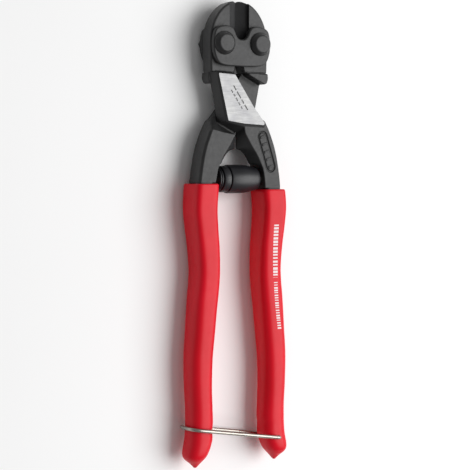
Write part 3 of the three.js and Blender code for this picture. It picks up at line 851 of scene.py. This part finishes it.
HEAD_SEAT = PLATE_OUTER + 0.05
NUT_LOW, NUT_HIGH = -8.3, -6.1
BOLT_SHANK = [(0, -8.2), (2.1, -8.2), (2.4, -8.0), (THREAD_RADIUS, -7.75), (THREAD_RADIUS, -5.75)]
BOLT_SHANK += [(BOLT_RADIUS - 0.02, -5.75), (BOLT_RADIUS - 0.02, HEAD_SEAT)]
BOLT_HEAD = [(HEAD_RADIUS - 0.15, HEAD_SEAT), (HEAD_RADIUS, HEAD_SEAT + 0.12)]
BOLT_HEAD += [(HEAD_RADIUS, HEAD_SEAT + 0.45), (4.92, HEAD_SEAT + 0.62), (3.85, 8.02)]
BOLT_HEAD += [(3.6, 8.24), (3.3, 8.33), (3.0, HEAD_TOP), (0, HEAD_TOP)]


def nut(name, at):
    """A hexagon with a chamfered underside and a through bore."""
    flat = NUT_ACROSS_FLATS / 2
    corner = flat / math.cos(math.pi / 6)
    hexagon = [(0, NUT_LOW), (corner, NUT_LOW), (corner, NUT_HIGH), (0, NUT_HIGH)]
    made = turned(name, hexagon, "z", at, 6)
    wide = corner + 0.1
    chamfer = [(0, NUT_LOW), (flat - 0.05, NUT_LOW), (wide, -7.9), (wide, NUT_HIGH), (0, NUT_HIGH)]
    boolean(made, turned("chamfer", chamfer, "z", at), "INTERSECT")
    boolean(made, drill(THREAD_RADIUS + 0.03, -FAR, -5, "z", at), "DIFFERENCE")
    return made


def bush(name, at):
    inner, outer, half = BOLT_RADIUS + 0.03, BUSH_RADIUS, JAW_HALF_THICK + 0.08
    rim, corner = outer - 0.2, half - 0.18
    lower = [(inner, -half), (rim, -half), (outer, -corner)]
    upper = [(outer, corner), (rim, half), (inner, half), (inner, -half)]
    return turned(name, lower + upper, "z", at)


for side, x in (("left", -PIVOT_X), ("right", PIVOT_X)):
    pivot = (x, PIVOT_DOWN, 0)
    bolt = turned(side + "_bolt_look", BOLT_SHANK + BOLT_HEAD, "z", pivot)
    pivot_nut = nut(side + "_nut_look", pivot)
    pivot_bush = bush(side + "_bush_look", pivot)
    for piece in (bolt, pivot_nut, pivot_bush):
        smooth_shade(piece, 30)
    finish_piece(bolt, "link", [side + "_pivot_bolt"], "dark_fastener", FASTENER)
    finish_piece(pivot_nut, "link", [side + "_pivot_nut"], "dark_fastener", FASTENER)
    finish_piece(pivot_bush, "link", [side + "_pivot_bush"], "bright_steel", BRIGHT)


# ---- grips ----

GRIP_SIDES = 96


def grip(name, side):
    """A dipped sleeve, open at the top, with a rolled lip and a pointed nib."""
    top = GRIP_TOPS[side]
    outer = spline(grip_sections(top), 14)
    lip = outer[0]
    rim = []
    for shrink, rise in ((0.55, 0.15), (0.25, -0.08), (0.08, 0.08)):
        rim.append((lip[0] + rise, lip[1], lip[2] - shrink, lip[3] - shrink, lip[4]))
    bore = core_sections(top, *BORE_INSET)
    mouth = (top + 0.3, lip[1], lip[2] - 1.25, lip[3] - 1.7, 6)
    x = outer[-1][1]
    end = [(199.5, x, 0.45, 0.45, 2), (199.6, x, 0.15, 0.15, 2)]
    along = [*bore[::-1], mouth, *rim, *outer[1:], *end]
    made = skin(name, [section_ring(s, GRIP_SIDES) for s in along])
    if side == "right":
        # The hole is stepped, so that the eyelet stays hidden under the sleeve's surface.
        narrow, wide, step = LATCH_HOLE_RADIUS, 1.88, EYELET_HALF_LENGTH + 0.1
        profile = [(0, -FAR), (narrow, -FAR), (narrow, -step), (wide, -step)]
        profile += [(wide, step), (narrow, step), (narrow, FAR), (0, FAR)]
        boolean(made, turned("hole", profile, "z", LATCH_AT, 48), "DIFFERENCE")
    smooth_shade(made, 50)
    return made


right_grip = grip("right_grip_look", "right")
finish_piece(right_grip, "right_lever", ["right_grip"], "red_vinyl", PRINTED_VINYL)
left_grip = grip("left_grip_look", "left")
turn_round(left_grip)
finish_piece(left_grip, "left_lever", ["left_grip"], "red_vinyl", VINYL)


# ---- spring and its housing ----

SPRING_AT = (0, SPRING_DOWN, 0)

PEG_HOLE = PEG_RADIUS + 0.05
barrel_profile = [(4.7, -4.75), (5.7, -4.8), (6.0, -4.68), (6.15, -4.4), (6.15, 3.0), (5.95, 4.6)]
barrel_profile += [(5.4, 7.8), (5.15, 9.0), (4.8, 9.9), (4.5, 10.2), (4.3, 10.3)]
barrel_profile += [(PEG_HOLE, 10.3), (PEG_HOLE, 9.2), (4.7, 9.2)]
barrel = turned("spring_barrel_look", [*barrel_profile, barrel_profile[0]], "x", SPRING_AT)
smooth_shade(barrel, 35)
finish_piece(barrel, "right_lever", ["spring_barrel"], "black_plastic", PLASTIC)

# Two ribs round the end of the cup.
ribs = []
for i in range(2):
    x = -10.2 + 0.9 * i
    ribs += [(4.6, x), (4.85, x + 0.05), (5.0, x + 0.2), (5.0, x + 0.5), (4.85, x + 0.65), (4.6, x + 0.7)]
cup_profile = [(PEG_HOLE, -10.3), (4.5, -10.3), *ribs, (4.4, -8.4), (4.4, -1.5), (3.9, -1.5)]
cup_profile += [(3.9, -9.2), (PEG_HOLE, -9.2)]
cup = turned("spring_cup_look", [*cup_profile, cup_profile[0]], "x", SPRING_AT)
smooth_shade(cup, 35)
finish_piece(cup, "left_lever", ["spring_cup"], "black_plastic", PLASTIC)

collar_profile = [(4.43, -8.3), (5.1, -8.3), (5.45, -8.15), (5.65, -7.8), (5.75, -5.5)]
collar_profile += [(5.7, -5.25), (5.5, -5.1), (4.43, -5.1)]
collar = turned("spring_collar_look", [*collar_profile, collar_profile[0]], "x", SPRING_AT)
smooth_shade(collar, 35)
finish_piece(collar, "left_lever", ["spring_collar"], "black_plastic", PLASTIC)

for side in ("right", "left"):
    profile = [(0, 7), (1.3, 7), (1.75, 7.2), (PEG_RADIUS, 7.6), (PEG_RADIUS, 14.8), (0, 14.8)]
    peg = turned(side + "_peg_look", profile, "x", SPRING_AT, 48)
    if side == "left":
        turn_round(peg)
    smooth_shade(peg, 35)
    finish_piece(peg, side + "_lever", [side + "_spring_peg"], "bright_steel", BRIGHT)

# The coil is two halves that meet in the middle, each reaching towards its own lever.
COIL_TURNS, COIL_HALF, COIL_RADIUS, COIL_WIRE = 9, 8.4, 2.85, 0.65
for side, sign in (("right", 1), ("left", -1)):
    share = np.linspace(0, 1, 220)
    turn = 2 * np.pi * COIL_TURNS / 2 * share
    down = SPRING_DOWN - COIL_RADIUS * np.cos(turn)
    points = np.stack([sign * COIL_HALF * share, down, sign * COIL_RADIUS * np.sin(turn)], axis=1)
    coil = tube(side + "_coil_look", points, COIL_WIRE, 14)
    smooth_shade(coil, 40)
    coil.data.materials.append(BRIGHT)
    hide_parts("return_spring")
    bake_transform(coil)


# ---- latch ----


def bent(corners, radii, steps=14):
    """The polyline with each inner corner replaced by a smooth bend."""
    p = [np.array(c, float) for c in corners]
    path = [p[0]]
    for i in range(1, len(p) - 1):
        before, after = p[i - 1] - p[i], p[i + 1] - p[i]
        a = p[i] + before / np.linalg.norm(before) * radii[i - 1]
        c = p[i] + after / np.linalg.norm(after) * radii[i - 1]
        for t in np.linspace(0, 1, steps + 1):
            path.append((1 - t) ** 2 * a + 2 * t * (1 - t) * p[i] + t**2 * c)
    path.append(p[-1])
    return path


# The front half of the wire: out of the eyelet, and across to beyond the left grip.
legs = [
    (LATCH_X, LATCH_DOWN, 3.7),
    (LATCH_X, LATCH_DOWN, LATCH_HEIGHT),
    (LATCH_FAR_X, LATCH_FAR_DOWN, LATCH_FAR_HEIGHT),
]
corners = legs + [(x, down, -z) for x, down, z in legs[::-1]]
LEG_BEND, LOOP_BEND = 1.05, 5.4
wire = tube("latch_wire_look", bent(corners, [LEG_BEND, LOOP_BEND, LOOP_BEND, LEG_BEND]), WIRE_RADIUS)
smooth_shade(wire, 50)
finish_piece(wire, "latch", ["latch_wire"], "bright_steel", BRIGHT)

bore, half, rim = LATCH_HOLE_RADIUS, EYELET_HALF_LENGTH, EYELET_HALF_LENGTH - 0.1
eyelet_profile = [(bore, -half), (1.7, -half), (1.8, -rim), (1.8, rim), (1.7, half)]
eyelet_profile += [(bore, half), (bore, -half)]
eyelet = turned("latch_eyelet_look", eyelet_profile, "z", LATCH_AT, 48)
smooth_shade(eyelet, 35)
finish_piece(eyelet, "right_lever", ["latch_eyelet"], "bright_steel", BRIGHT)


# ---- floor, light and camera ----


def floor_material():
    m = Material("floor")
    cloud = m.noise(3, 3)
    colour = m.mix(m.ramp(cloud, [(0.3, 0.0), (0.7, 1.0)]), (0.92, 0.92, 0.92), (0.95, 0.95, 0.95))
    return m.set(Base_Color=colour, Roughness=0.7)


FLOOR_HALF, FLOOR_Z = 3, -0.0001
floor_corners = [(x * FLOOR_HALF, y * FLOOR_HALF, FLOOR_Z) for x, y in ((-1, -1), (1, -1), (1, 1), (-1, 1))]
floor = new_object("floor", floor_corners, [(0, 1, 2, 3)])
floor.data.materials.append(floor_material())

# The camera looks down at the closed tool from its left side; angles in radians, distance in metres.
YAW, PITCH, DISTANCE = 0.568, 0.043, 0.7196
LENS, SHIFT_Y = 127.7, -0.0019
back = Vector((-math.sin(YAW) * math.cos(PITCH), math.sin(PITCH), math.cos(YAW) * math.cos(PITCH)))
across = Vector((math.cos(YAW), 0, math.sin(YAW)))
upward = back.cross(across)
turn = Matrix((across, upward, back)).transposed().to_4x4()
camera_data = bpy.data.cameras.new("camera")
camera_data.lens = LENS
camera_data.sensor_width = 36
camera_data.clip_start = 0.01
camera_data.shift_y = SHIFT_Y
camera = bpy.data.objects.new("camera", camera_data)
camera.matrix_world = Matrix.Translation(back * DISTANCE + Vector((0, 0, REST_HEIGHT * MM))) @ turn
bpy.context.scene.collection.objects.link(camera)
bpy.context.scene.camera = camera


# One large soft light from the right, aimed at the tool, and an even weak surround.
KEY_PLACE, KEY_SIDE, KEY_POWER = Vector((0.72, -0.04, 0.95)), 1.2, 17.5
SURROUND = 0.3
key_data = bpy.data.lights.new("key", "AREA")
key_data.shape = "RECTANGLE"
key_data.size = key_data.size_y = KEY_SIDE
key_data.energy = KEY_POWER
key = bpy.data.objects.new("key", key_data)
key.location = KEY_PLACE
key.rotation_euler = (-KEY_PLACE).to_track_quat("-Z", "Y").to_euler()
bpy.context.scene.collection.objects.link(key)

world = bpy.data.worlds.new("world")
world.use_nodes = True
world.node_tree.nodes["Background"].inputs["Color"].default_value = (1, 1, 1, 1)
world.node_tree.nodes["Background"].inputs["Strength"].default_value = SURROUND
bpy.context.scene.world = world
bpy.context.scene.view_settings.view_transform = "Standard"
